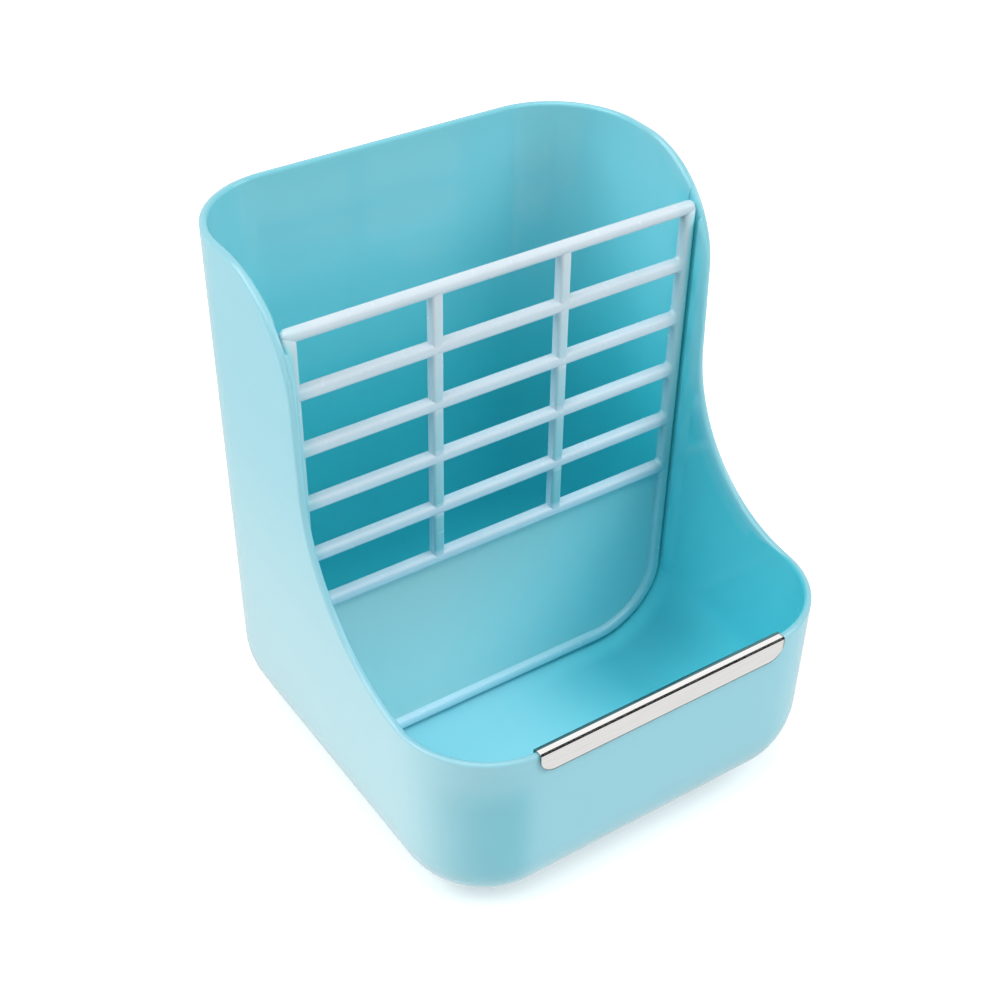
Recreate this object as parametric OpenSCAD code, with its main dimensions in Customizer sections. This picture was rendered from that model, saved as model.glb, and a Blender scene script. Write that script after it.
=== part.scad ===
// Hay feeder box for rabbits and other small pets.
// A tall hopper at the back runs into an open bowl at the front. A grille drops into grooves in the
// side walls, a folded metal guard covers the front rim, and two spring hooks hang the box on a cage.
// X is the width, with +X to the right seen from the front. +Y points to the back and Z is up.
// The origin is the middle of the base, on the surface that the box stands on.

/* [Body] */
// Outer width of the box at the level of the base
body_w = 132; // [118:1:160]
// Outer depth of the box at the level of the base, without the hooks
body_d = 137; // [125:1:165]
// Height of the back rim
body_h = 167; // [155:1:200]
// Height of the front rim
bowl_h = 64; // [54:1:76]
// Thickness of the moulded wall
wall_t = 2.2; // [1.8:0.1:2.8]
// Outer radius of the upright corners and of the base edge
corner_r = 27; // [22:1:32]
// Draft of the walls, in degrees
draft = 0.7; // [0.3:0.1:1.2]

/* [Side rims] */
// Radius of the rounded shoulder at the top of each side
crest_r = 32; // [26:1:38]
// Radius of the hollow sweep from the steep stretch down to the bowl
sweep_r = 48; // [36:1:52]
// How much further forwards the steep stretch stands at its foot than at its top
rim_lean = 1; // [0.5:0.5:3]
// Distance from the middle of the grille forwards to the steep stretch of the rim
rim_lead = 7.5; // [6:0.5:11]

/* [Grille] */
// Distance from the middle of the box back to the middle of the grille
grille_y = 11.5; // [6:0.5:18]
// Diameter of the bar round the edge of the grille
frame_d = 4; // [3.4:0.1:4.6]
// Diameter of the cross bars
row_d = 3.8; // [3:0.1:4.2]
// Diameter of the inner uprights
column_d = 3.6; // [3:0.1:4]
// Spacing of the two inner uprights
column_gap = 41; // [34:1:48]
// Number of rows of windows
rows = 5; // [3:1:6]
// Height of the lowest cross bar, which is the top of the solid panel
panel_h = 65.2; // [52:0.1:72]
// Thickness of the solid panel
panel_t = 1.6; // [1.2:0.1:2.4]
// Clearance between the grille and the box, all round
grille_gap = 0.3; // [0.25:0.05:0.5]
// How far each guide rib stands in from the wall
rib_h = 1.8; // [1.4:0.1:2.4]
// Width of each guide rib
rib_w = 1.8; // [1.4:0.1:2.6]

/* [Chew guard] */
// How far each end of the metal guard reaches into the round corner of the rim
guard_past = 1.6; // [-12:0.1:1.6]
// Thickness of the sheet metal
guard_t = 0.5; // [0.4:0.05:0.8]
// How far the outer flap hangs down
guard_drop = 6.6; // [5:0.1:9]
// Radius of the flap's lower corners
guard_r = 5; // [2:0.5:5]
// Outer radius of the two folds
guard_fold_r = 0.9; // [0.9:0.1:1.2]
// Clearance between the guard's flaps and the wall
guard_gap = 0.2; // [0.2:0.05:0.3]

/* [Cage hooks] */
// Distance of each hook inwards from the start of the round corner
hook_in = 1.3; // [0:0.1:12]
// Height of the upper lug's top face
hook_z = 134; // [115:1:140]
// Spacing of the two lugs of one hook
lug_gap = 30; // [26:1:34]
// Thickness of each lug
lug_t = 5; // [4:0.5:6]
// Radius of the lug's round end
lug_r = 4.6; // [4.2:0.1:4.8]
// Distance from the back wall to the hook's shank
shank_out = 8; // [7:0.5:10]
// Thickness of the moulded pad between the lugs
pad_t = 1.6; // [1:0.2:2.4]
// Diameter of the hook wire
wire_d = 2.5; // [2.2:0.1:2.7]
// Radial clearance of the wire in the lugs and the washer
wire_gap = 0.2; // [0.15:0.05:0.25]
// Clear width inside the hook, which sets the thickest cage wire
hook_clear = 4.3; // [4.2:0.1:6]
// How far the hook's tip reaches down past the lug's top face
hook_reach = 7; // [5:0.5:9]
// Travel of the hook
hook_travel = 10; // [6:1:10]
// Length of the collar on the shank
collar_l = 4; // [3:0.5:5]
// Radius of the collar
collar_r = 3.1; // [2.8:0.1:3.6]
// Radius of the washer
washer_r = 4.3; // [4:0.1:4.6]
// Thickness of the washer
washer_t = 0.8; // [0.6:0.1:1.2]
// Gap between the collar and the lower lug, on which it rests
seat_gap = 0.3; // [0.2:0.1:0.5]

/* [Springs] */
// Diameter of the spring wire
spring_wire = 0.8; // [0.6:0.1:0.9]
// Mean radius of the spring
spring_r = 2.9; // [2.6:0.1:3.2]
// Number of curls
spring_turns = 7.5; // [5:0.5:8]
// Share of a curl that lies flat on each seat
spring_flat = 0.35; // [0.2:0.05:0.4]

/* [Hidden] */
$fn = 64;
blue = "#8fd8e6";
white = "#e9eef2";
bright = "#d7dadd";
steel = "#b6babd";
slope = tan(draft);
// Cuts reach this far past the faces that they open
over = 2;
// Centres of the upright corners and of the rounded base edge. They are rounded to a hundredth, so
// that the pieces of the wall meet exactly.
corner_x = round(100 * (body_w / 2 + corner_r * slope - corner_r)) / 100;
corner_y = round(100 * (body_d / 2 + corner_r * slope - corner_r)) / 100;
// The tub is made a little higher than its rim, which the side outline then trims
tub_h = body_h + over;
// Centre of the shoulder's arc and of the sweep's arc in the side view
rim_y = grille_y - rim_lead;
crest_c = [rim_y + crest_r, body_h - crest_r];
sweep_c = [rim_y - rim_lean - sweep_r, bowl_h + sweep_r];
// Direction of the line that touches both arcs
arcs_apart = norm(crest_c - sweep_c);
touch_angle = atan2(crest_c.y - sweep_c.y, crest_c.x - sweep_c.x)
    - acos((crest_r + sweep_r) / arcs_apart);
touch = [cos(touch_angle), sin(touch_angle)];
// The straight stretch starts just inside both arcs, so that it crosses them
blend = 0.005;
crest_touch = crest_c - (crest_r - blend) * touch;
sweep_touch = sweep_c + (sweep_r - blend) * touch;
reach_y = body_d;
// Height of the side rim over the middle of the grille, which the grille's top is level with
grille_top = crest_c.y + sqrt(pow(crest_r, 2) - pow(crest_c.x - grille_y, 2));
frame_r = frame_d / 2;
// The side bars are a shade thinner, so that they end inside the round ends of the top bar
side_r = frame_r - 0.05;
// The corner pieces are a shade thicker than the straight bars, whose ends lie inside them
bend_tube_r = frame_r - 0.02;
bar_lap = 0.5;
top_bar_z = grille_top - frame_r;
row_pitch = (top_bar_z - panel_h) / rows;
// The grille's lower corners run round with the rounded base edge
grille_corner_r = corner_r - wall_t - grille_gap;
bend_r = grille_corner_r - side_r;
foot_z = corner_r - bend_r;
top_bar_half = wall_in(top_bar_z) - grille_gap - frame_r;
// Outline of the chew guard across the front wall
front_y = -body_d / 2 - (bowl_h - guard_drop / 2) * slope;
guard_in = wall_t + 2 * guard_gap;
guard_out = guard_in + 2 * guard_t;
guard_l = 2 * (corner_x + guard_past);
// Hook bracket
hook_x = corner_x - hook_in;
lug_low_z = hook_z - lug_gap;
back_y = body_d / 2 + lug_low_z * slope;
shank_y = body_d / 2 + hook_z * slope + shank_out;
wire_r = wire_d / 2;
bore_r = wire_r + wire_gap;
hook_bend_r = (hook_clear + wire_d) / 2;
collar_z = lug_low_z + seat_gap;
washer_z = collar_z + collar_l;
spring_low = washer_z + washer_t;
spring_high = hook_z - lug_t;
// The shank stays in the lower lug over the hook's whole travel
shank_low = lug_low_z - lug_t - hook_travel - 2;
collar_gap = 0.02;
spring_rings = 8;
spring_sides = 6;

// Distance from the middle plane to the inner side wall at a height
function wall_in(z) = body_w / 2 - wall_t + z * slope;

// Half outline of an upright corner, seen in a plane through its centre line
module corner_section(inset) {
    r = corner_r - inset;
    intersection() {
        translate([0, corner_r]) circle(r);
        translate([0, inset]) square(r);
    }
    polygon([[0, corner_r], [r, corner_r], [r + (tub_h - corner_r) * slope, tub_h], [0, tub_h]]);
}

// Solid tub with rounded corners and base edge, drawn in by inset on every side
module tub(inset) {
    rotate([90, 0, 90]) linear_extrude(2 * corner_x, center = true) {
        for (side = [0, 1]) mirror([side, 0]) translate([corner_y, 0]) corner_section(inset);
        translate([-corner_y, inset]) square([2 * corner_y, tub_h - inset]);
    }
    for (side = [0, 1]) mirror([side, 0, 0]) translate([corner_x, 0, 0])
        rotate([90, 0, 0]) linear_extrude(2 * corner_y, center = true) corner_section(inset);
    for (side = [0, 1], end = [0, 1]) mirror([side, 0, 0]) mirror([0, end, 0])
        translate([corner_x, corner_y, 0]) rotate_extrude(angle = 90) corner_section(inset);
}

// Everything below the side rim, seen from the right
module side_outline() {
    difference() {
        union() {
            translate([crest_c.x, 0]) square([reach_y, body_h]);
            intersection() {
                translate(crest_c) circle(crest_r);
                translate(crest_c - [crest_r, crest_r]) square([crest_r, 2 * crest_r]);
            }
            polygon([[crest_c.x, 0], crest_c, crest_touch, sweep_touch, sweep_c, [sweep_c.x, 0]]);
            translate([-reach_y, 0]) square([reach_y + sweep_c.x, bowl_h]);
        }
        intersection() {
            translate(sweep_c) circle(sweep_r);
            translate([sweep_c.x, bowl_h]) square([sweep_r, 2 * sweep_r]);
        }
    }
}

module below_rim() {
    rotate([90, 0, 90]) linear_extrude(2 * body_w, center = true) side_outline();
}

// One pair of ribs on the right-hand wall, with the groove for the grille between them
module guide_ribs() {
    for (way = [-1, 1]) {
        mid = grille_y + way * (frame_r + grille_gap + rib_w / 2);
        translate([0, mid, 0]) rotate([90, 0, 0]) linear_extrude(rib_w, center = true) polygon([
            [wall_in(0) - rib_h, 0],
            [wall_in(0) + wall_t, 0],
            [wall_in(tub_h) + wall_t, tub_h],
            [wall_in(tub_h) - rib_h, tub_h]
        ]);
    }
}

// Moulded bracket for one hook, without its bores
module hook_bracket() {
    root_y = back_y - wall_t / 2;
    for (top = [hook_z, lug_low_z]) translate([0, 0, top - lug_t]) {
        translate([0, shank_y, 0]) cylinder(h = lug_t, r = lug_r);
        translate([-lug_r, root_y, 0]) cube([2 * lug_r, shank_y - root_y, lug_t]);
    }
    translate([-lug_r, root_y, lug_low_z - lug_t])
        cube([2 * lug_r, wall_t / 2 + pad_t, lug_gap + lug_t]);
}

module feeder_body() {
    color(blue) difference() {
        union() {
            intersection() {
                difference() {
                    tub(0);
                    tub(wall_t);
                }
                below_rim();
            }
            intersection() {
                tub(wall_t / 2);
                below_rim();
                for (side = [0, 1]) mirror([side, 0, 0]) guide_ribs();
            }
            for (way = [-1, 1]) translate([way * hook_x, 0, 0]) hook_bracket();
        }
        for (way = [-1, 1]) translate([way * hook_x, shank_y, shank_low])
            cylinder(h = hook_z + over - shank_low, r = bore_r);
    }
}

// A bar along X with round ends that reach the given half length
module round_bar(half, r) {
    rotate([0, 90, 0]) rotate_extrude() intersection() {
        union() {
            square([r, 2 * half], center = true);
            for (way = [-1, 1]) translate([0, way * half]) circle(r);
        }
        translate([0, -half - r]) square([r, 2 * (half + r)]);
    }
}

// Right-hand side bar, with the rounded corner below it
module side_bar() {
    low = [corner_x + bend_r, corner_r];
    high = [top_bar_half, top_bar_z];
    along = (high - low) / norm(high - low);
    start = low - bar_lap * along;
    translate([start.x, 0, start.y]) rotate([0, atan2(along.x, along.y), 0])
        cylinder(h = norm(high - start), r = side_r);
    translate([corner_x, 0, corner_r]) rotate([90, 0, 0]) rotate([0, 0, -90])
        rotate_extrude(angle = 90) translate([bend_r, 0]) circle(bend_tube_r);
}

module panel_outline() {
    half = wall_in(panel_h) - grille_gap - frame_r;
    foot = foot_z;
    polygon([[0, foot], [corner_x, foot], [corner_x, corner_r], [corner_x + bend_r, corner_r],
        [half, panel_h], [0, panel_h]]);
    intersection() {
        translate([corner_x, corner_r]) circle(bend_r);
        translate([corner_x, corner_r - bend_r]) square(bend_r);
    }
}

module grille() {
    color(white) translate([0, grille_y, 0]) {
        translate([0, 0, top_bar_z]) round_bar(top_bar_half, frame_r);
        for (row = [1:rows]) {
            z = top_bar_z - row * row_pitch;
            half = wall_in(z) - grille_gap - frame_r;
            translate([-half, 0, z]) rotate([0, 90, 0]) cylinder(h = 2 * half, r = row_d / 2);
        }
        for (way = [-1, 1]) translate([way * column_gap / 2, 0, panel_h])
            cylinder(h = top_bar_z - panel_h, r = column_d / 2);
        for (side = [0, 1]) mirror([side, 0, 0]) {
            side_bar();
            rotate([90, 0, 0]) linear_extrude(panel_t, center = true) panel_outline();
        }
        translate([0, 0, foot_z]) rotate([0, 90, 0])
            cylinder(h = 2 * (corner_x + bar_lap), r = side_r, center = true);
    }
}

// Half section of the guard across the front wall, with one rounded fold
module guard_half() {
    mid = guard_out / 2 - guard_fold_r;
    fold_z = guard_t - guard_fold_r;
    difference() {
        union() {
            translate([mid, -guard_drop]) square([guard_fold_r, guard_drop + fold_z]);
            translate([0, fold_z]) square([mid, guard_fold_r]);
            intersection() {
                translate([mid, fold_z]) circle(guard_fold_r);
                translate([mid, fold_z]) square(guard_fold_r);
            }
        }
        translate([-over, -guard_drop - over]) square([guard_in / 2 + over, guard_drop + over]);
    }
}

// Front view of the guard, with the round lower corners of its flaps
module guard_outline() {
    translate([-guard_l / 2, guard_r - guard_drop]) square([guard_l, guard_drop - guard_r + over]);
    for (way = [-1, 1]) translate([way * (guard_l / 2 - guard_r), guard_r - guard_drop])
        circle(guard_r);
    translate([guard_r - guard_l / 2, -guard_drop]) square([guard_l - 2 * guard_r, guard_drop]);
}

module chew_guard() {
    color(bright) translate([0, front_y + wall_t / 2, bowl_h]) intersection() {
        rotate([90, 0, 90]) linear_extrude(guard_l, center = true)
            for (side = [0, 1]) mirror([side, 0]) guard_half();
        rotate([90, 0, 0]) linear_extrude(2 * guard_out, center = true) guard_outline();
    }
}

module at_hook(way) {
    translate([way * hook_x, shank_y, 0]) children();
}

// Bent wire: a straight shank, a half-round bend towards the cage and a round-ended tip
module hook(way) {
    tip_z = hook_z - hook_reach;
    color(steel) at_hook(way) {
        translate([0, 0, shank_low]) cylinder(h = hook_z - shank_low, r = wire_r);
        translate([0, hook_bend_r, hook_z]) rotate([0, -90, 0]) rotate([0, 0, -90])
            rotate_extrude(angle = 180) translate([hook_bend_r, 0]) circle(wire_r);
        translate([0, 2 * hook_bend_r, tip_z]) cylinder(h = hook_reach, r = wire_r);
        translate([0, 2 * hook_bend_r, tip_z]) sphere(wire_r);
    }
}

module ring(outer_r, inner_r, h) {
    difference() {
        cylinder(h = h, r = outer_r);
        translate([0, 0, -over]) cylinder(h = h + 2 * over, r = inner_r);
    }
}

module collar(way) {
    color(steel) at_hook(way) translate([0, 0, collar_z]) ring(collar_r, wire_r + collar_gap, collar_l);
}

module washer(way) {
    color(steel) at_hook(way) translate([0, 0, washer_z]) ring(washer_r, bore_r, washer_t);
}

// The spring's height at a number of turns: flat on both seats and steady between them
spring_pitch = (spring_high - spring_low - spring_wire) / (spring_turns - 2 * spring_flat);
function spring_z(turn) = spring_low + spring_wire / 2
    + spring_pitch * min(max(turn - spring_flat, 0), spring_turns - 2 * spring_flat);
function spring_point(turn) = [spring_r * cos(360 * turn), spring_r * sin(360 * turn), spring_z(turn)];
spring_count = round(spring_turns * spring_rings);
spring_path = [for (i = [0:spring_count]) spring_point(i * spring_turns / spring_count)];
// Points that lie half a curl or more apart along the wire
spring_gap = min([for (i = [0:spring_count]) for (j = [i + spring_rings / 2:1:spring_count])
    norm(spring_path[i] - spring_path[j])]) - spring_wire;
echo(least_gap_of_spring = spring_gap);

function spring_ring(turn) = [for (k = [0:spring_sides - 1])
    let (a = 360 * k / spring_sides, r = spring_r + spring_wire / 2 * cos(a))
    [r * cos(360 * turn), r * sin(360 * turn), spring_z(turn) + spring_wire / 2 * sin(a)]];

module spring(way) {
    rings = [for (i = [0:spring_count]) each spring_ring(i * spring_turns / spring_count)];
    last = spring_count * spring_sides;
    sides = [for (i = [0:spring_count - 1], k = [0:spring_sides - 1])
        let (a = i * spring_sides + k, b = i * spring_sides + (k + 1) % spring_sides)
        each [[a, b + spring_sides, b], [a, a + spring_sides, b + spring_sides]]];
    caps = [for (k = [1:spring_sides - 2]) each [[0, k, k + 1], [last, last + k + 1, last + k]]];
    color(steel) at_hook(way) polyhedron(points = rings, faces = concat(sides, caps), convexity = 4);
}

module hook_left() { hook(-1); }
module hook_right() { hook(1); }
module collar_left() { collar(-1); }
module collar_right() { collar(1); }
module washer_left() { washer(-1); }
module washer_right() { washer(1); }
module spring_left() { spring(-1); }
module spring_right() { spring(1); }

feeder_body();
grille();
chew_guard();
hook_left();
hook_right();
collar_left();
collar_right();
washer_left();
washer_right();
spring_left();
spring_right();
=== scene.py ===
import math

import bpy
import bmesh
import numpy as np
from mathutils import Matrix, Vector


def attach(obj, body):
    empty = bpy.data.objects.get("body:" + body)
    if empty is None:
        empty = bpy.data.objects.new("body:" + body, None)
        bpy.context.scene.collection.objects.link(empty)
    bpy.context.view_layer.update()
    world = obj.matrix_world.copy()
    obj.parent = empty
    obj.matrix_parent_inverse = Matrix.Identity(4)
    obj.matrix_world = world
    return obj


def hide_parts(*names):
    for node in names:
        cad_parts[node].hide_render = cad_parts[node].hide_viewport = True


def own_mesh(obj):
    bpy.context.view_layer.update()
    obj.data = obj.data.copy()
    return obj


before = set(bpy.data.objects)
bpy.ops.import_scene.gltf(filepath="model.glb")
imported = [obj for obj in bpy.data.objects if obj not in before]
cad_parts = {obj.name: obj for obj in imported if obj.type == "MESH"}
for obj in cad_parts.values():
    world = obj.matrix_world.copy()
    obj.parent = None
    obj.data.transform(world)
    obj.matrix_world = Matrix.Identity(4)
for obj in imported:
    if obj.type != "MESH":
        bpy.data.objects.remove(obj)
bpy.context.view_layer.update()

# Sizes repeated from the part's source, in millimetres. The origin is the middle of the base.
BODY_W, BODY_D, BODY_H, BOWL_H = 132.0, 137.0, 167.0, 64.0
WALL = 2.2
CORNER_R = 27.0
SLOPE = math.tan(math.radians(0.7))
CORNER_X = round(BODY_W / 2 + CORNER_R * SLOPE - CORNER_R, 2)
CORNER_Y = round(BODY_D / 2 + CORNER_R * SLOPE - CORNER_R, 2)
CREST_R, SWEEP_R, RIM_LEAN, RIM_LEAD = 32.0, 48.0, 1.0, 7.5
GRILLE_Y = 11.5
FRAME_R, ROW_R, COLUMN_R = 2.0, 1.9, 1.8
COLUMN_GAP = 41.0
ROWS = 5
PANEL_H, PANEL_T = 65.2, 1.6
GRILLE_GAP = 0.3
GUARD_PAST, GUARD_T, GUARD_DROP, GUARD_R, FOLD_R, GUARD_GAP = 1.6, 0.5, 6.6, 5.0, 0.9, 0.2
HOOK_IN, HOOK_Z, LUG_GAP, LUG_T, LUG_R, SHANK_OUT, PAD_T = 1.3, 134.0, 30.0, 5.0, 4.6, 8.0, 1.6
WIRE_R, WIRE_GAP, HOOK_CLEAR, HOOK_REACH, HOOK_TRAVEL = 1.25, 0.2, 4.3, 7.0, 10.0
COLLAR_L, COLLAR_R, WASHER_R, WASHER_T, SEAT_GAP = 4.0, 3.1, 4.3, 0.8, 0.3
SPRING_WIRE, SPRING_R, SPRING_TURNS, SPRING_FLAT = 0.8, 2.9, 7.5, 0.35

RIM_Y = GRILLE_Y - RIM_LEAD
CREST_C = (RIM_Y + CREST_R, BODY_H - CREST_R)
SWEEP_C = (RIM_Y - RIM_LEAN - SWEEP_R, BOWL_H + SWEEP_R)
ARCS_APART = math.hypot(CREST_C[0] - SWEEP_C[0], CREST_C[1] - SWEEP_C[1])
TOUCH = (math.atan2(CREST_C[1] - SWEEP_C[1], CREST_C[0] - SWEEP_C[0])
         - math.acos((CREST_R + SWEEP_R) / ARCS_APART))
TOP_BAR_Z = CREST_C[1] + math.sqrt(CREST_R ** 2 - (CREST_C[0] - GRILLE_Y) ** 2) - FRAME_R
PITCH = (TOP_BAR_Z - PANEL_H) / ROWS
MM = 0.001


def metres(*lengths):
    return tuple(v * MM for v in lengths)


def wall_in(z):
    """Half the width between the side walls' inner faces at a height."""
    return BODY_W / 2 - WALL + z * SLOPE


def rim_height(y):
    """Height of the side rim at a distance from the front."""
    if y >= CREST_C[0]:
        return BODY_H
    top = (CREST_C[0] - CREST_R * math.cos(TOUCH), CREST_C[1] - CREST_R * math.sin(TOUCH))
    low = (SWEEP_C[0] + SWEEP_R * math.cos(TOUCH), SWEEP_C[1] + SWEEP_R * math.sin(TOUCH))
    if y >= top[0]:
        return CREST_C[1] + math.sqrt(CREST_R ** 2 - (CREST_C[0] - y) ** 2)
    if y >= low[0]:
        return low[1] + (top[1] - low[1]) * (y - low[0]) / (top[0] - low[0])
    if y >= SWEEP_C[0]:
        return SWEEP_C[1] - math.sqrt(SWEEP_R ** 2 - (y - SWEEP_C[0]) ** 2)
    return BOWL_H


RIM_LOW_Z = SWEEP_C[1] + SWEEP_R * math.sin(TOUCH)
RIM_HIGH_Z = CREST_C[1] - CREST_R * math.sin(TOUCH)


def rim_front(z):
    """Where the rim's front edge is at a height, on and near the steep stretch."""
    if z < BOWL_H:
        return -BODY_D / 2
    if z < RIM_LOW_Z:
        return SWEEP_C[0] + math.sqrt(SWEEP_R ** 2 - (z - SWEEP_C[1]) ** 2)
    if z > RIM_HIGH_Z:
        return CREST_C[0] - math.sqrt(CREST_R ** 2 - (z - CREST_C[1]) ** 2)
    low, high = rim_front(RIM_LOW_Z - 1e-6), rim_front(RIM_HIGH_Z + 1e-6)
    return low + (high - low) * (z - RIM_LOW_Z) / (RIM_HIGH_Z - RIM_LOW_Z)


def rim_gap(y, z):
    """How far a point of the side wall is from the rim, in the side view."""
    if z > RIM_HIGH_Z:
        return CREST_R - math.hypot(min(y - CREST_C[0], 0), z - CREST_C[1])
    if BOWL_H < z < RIM_LOW_Z:
        return math.hypot(y - SWEEP_C[0], z - SWEEP_C[1]) - SWEEP_R
    return y - rim_front(z)


# Ramps, all from 0 to 1 and soft at both ends


def smooth_step(t):
    t = min(max(t, 0.0), 1.0)
    return t * t * (3 - 2 * t)


def rise(value, start, length):
    return smooth_step((value - start) / length)


def fall(value, end, length):
    return smooth_step((end - value) / length)


# Mesh helpers


def new_object(name, data):
    obj = bpy.data.objects.new(name, data)
    bpy.context.scene.collection.objects.link(obj)
    return obj


SAME_POINT = 2e-7


def mesh_from(name, points, faces, smooth=True):
    """An object from points in millimetres, with doubled points merged and faces turned outwards."""
    mesh = bpy.data.meshes.new(name)
    mesh.from_pydata([metres(*p) for p in points], [], faces)
    bm = bmesh.new()
    bm.from_mesh(mesh)
    bmesh.ops.remove_doubles(bm, verts=bm.verts, dist=SAME_POINT)
    bmesh.ops.dissolve_degenerate(bm, edges=bm.edges, dist=SAME_POINT / 2)
    bmesh.ops.recalc_face_normals(bm, faces=bm.faces)
    for f in bm.faces:
        f.smooth = smooth
    bm.to_mesh(mesh)
    bm.free()
    return new_object(name, mesh)


def strip_faces(rings, size, closed_rings=True, closed_path=False, offset=0):
    """Quads between rings of points that follow each other in the list."""
    faces = []
    steps = rings if closed_path else rings - 1
    across = size if closed_rings else size - 1
    for i in range(steps):
        a = offset + i * size
        b = offset + ((i + 1) % rings) * size
        for k in range(across):
            n = (k + 1) % size
            faces.append((a + k, a + n, b + n, b + k))
    return faces


def loft(rings, caps=True, closed_path=False):
    """Points and faces of a closed form through rings of equal size."""
    size = len(rings[0])
    points = [p for ring in rings for p in ring]
    faces = strip_faces(len(rings), size, True, closed_path)
    if caps and not closed_path:
        faces.append(tuple(reversed(range(size))))
        last = (len(rings) - 1) * size
        faces.append(tuple(last + k for k in range(size)))
    return points, faces


def painted(obj, **values):
    """Named values on the points of a mesh, which its material reads."""
    for name, value in values.items():
        obj.data.attributes.new(name, "FLOAT", "POINT").data.foreach_set("value", value)


def merged(parts):
    """One list of points and faces from several."""
    points, faces = [], []
    for p, f in parts:
        base = len(points)
        points += list(p)
        faces += [tuple(i + base for i in face) for face in f]
    return points, faces


def section(count, r_a, r_b, power=2.0):
    """Points round a superellipse; power 2 is round and a higher one is squarer."""
    out = []
    for k in range(count):
        a = 2 * math.pi * k / count
        c, s = math.cos(a), math.sin(a)
        out.append((r_a * math.copysign(abs(c) ** (2 / power), c),
                    r_b * math.copysign(abs(s) ** (2 / power), s)))
    return out


def sweep(path, side, count=20, r_a=1.0, power=2.0, ends=(0.0, 0.0)):
    """A bar along a path that lies in a plane. side is the plane's normal. ends rounds each end."""
    path = [Vector(p) for p in path]
    side = Vector(side).normalized()
    total = len(path)
    rings = []

    def ring(i, shift=0.0, k=1.0):
        t = (path[min(i + 1, total - 1)] - path[max(i - 1, 0)]).normalized()
        up = side.cross(t).normalized()
        centre = path[i] + t * shift
        return [tuple(centre + side * (u * k) + up * (v * k)) for u, v in section(count, r_a, r_a, power)]

    def rounded(i, soft, way):
        return [ring(i, way * soft * (1 - math.sin(a)), 1 - soft / r_a * (1 - math.cos(a)))
                for a in np.radians((80, 60, 40, 20))]

    if ends[0]:
        rings += rounded(0, ends[0], 1)
    for i in range(total):
        shift = ends[0] if i == 0 else -ends[1] if i == total - 1 else 0.0
        rings.append(ring(i, shift))
    if ends[1]:
        rings += rounded(total - 1, ends[1], -1)[::-1]
    return loft(rings)


def lathe(profile, centre, count=48):
    """Points and faces of a closed ring or disc turned about an upright line. profile is (r, z)."""
    rings = []
    for r, z in profile:
        rings.append([(centre[0] + r * math.cos(2 * math.pi * k / count),
                       centre[1] + r * math.sin(2 * math.pi * k / count), z) for k in range(count)])
    points = [p for ring in rings for p in ring]
    return points, strip_faces(len(rings), count, True, True)


# Materials


def material(name):
    mat = bpy.data.materials.new(name)
    mat.use_nodes = True
    tree = mat.node_tree
    return mat, tree, tree.nodes["Principled BSDF"]


def feed(tree, socket, value):
    """Link a socket to the output of another node, or give it a plain value."""
    if isinstance(value, bpy.types.NodeSocket):
        tree.links.new(value, socket)
    else:
        socket.default_value = value


def node(tree, kind, *fed, **named):
    """A node with its inputs fed in order and by name. Other names are choices of the node."""
    made = tree.nodes.new(kind)
    for key, value in named.items():
        if key in made.inputs:
            feed(tree, made.inputs[key], value)
        else:
            setattr(made, key, value)
    for socket, value in zip(made.inputs, fed):
        feed(tree, socket, value)
    return made


def maths(tree, kind, *values):
    return node(tree, "ShaderNodeMath", *values, operation=kind).outputs[0]


def object_noise(tree, scale, detail=3.0, stretch=(1, 1, 1)):
    """Noise on the object's own coordinates, in metres."""
    where = node(tree, "ShaderNodeTexCoord").outputs["Object"]
    mapping = node(tree, "ShaderNodeMapping", where, Scale=stretch)
    return node(tree, "ShaderNodeTexNoise", mapping.outputs[0], Scale=scale, Detail=detail).outputs["Fac"]


def spread(tree, source, low, high, from_low=0.3, from_high=0.7):
    """A value between low and high that follows a noise or another value."""
    return node(tree, "ShaderNodeMapRange", source, from_low, from_high, low, high).outputs["Result"]


def mix_colour(tree, factor, a, b, kind="MIX"):
    """Two colours mixed by a factor. Each is plain or comes from another node."""
    made = node(tree, "ShaderNodeMix", factor, data_type="RGBA", blend_type=kind)
    for socket, colour in zip(made.inputs[6:8], (a, b)):
        feed(tree, socket, (*colour, 1) if isinstance(colour, tuple) else colour)
    return made.outputs[2]


def tinted(tree, colour, factor, tint):
    """A colour multiplied by a tint where the factor is 1, and left as it is where that is 0."""
    return mix_colour(tree, 1.0, colour, mix_colour(tree, factor, (1, 1, 1), tint), "MULTIPLY")


def dressed(tree, bsdf, colour, rough, relief, strength, distance):
    """Give a finish its colour, its roughness and the fine relief of its face."""
    made = node(tree, "ShaderNodeBump", Strength=strength, Distance=distance, Height=relief)
    for name, value in (("Base Color", colour), ("Roughness", rough), ("Normal", made.outputs[0])):
        feed(tree, bsdf.inputs[name], value)


# Colours and tints, all linear. A tint multiplies the colour under it.
OUTER_BLUE = (0.322, 0.684, 0.783)
LIT_BLUE = (0.284, 0.698, 0.793)
# Painted shade: the inner blue where the hopper's depth and the bowl's right lie in shade.
SHADED_BLUE = (0.060, 0.643, 0.743)
# Painted light through the panel: lighter at its left, shaded at its right.
PANEL_LEFT_LIT = (0.456, 0.756, 0.791)
PANEL_RIGHT_SHADED = (0.275, 0.702, 0.766)
# Painted light and shade on the bars: greyer and darker at the top bar, bluer and lighter at the foot.
BAR_TOP = (0.644, 0.744, 0.813)
BAR_FOOT = (0.596, 0.806, 0.925)
# Painted blue light from the body on the bars.
BAR_BLUE_LIGHT = (0.200, 0.600, 0.680)
BAR_SHADE = (0.290, 0.880, 0.920)
# Painted light on the left wall's outside, strongest low down where it faces left.
OUTER_LEFT_LIGHT = (0.496, 0.777, 0.841)
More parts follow.
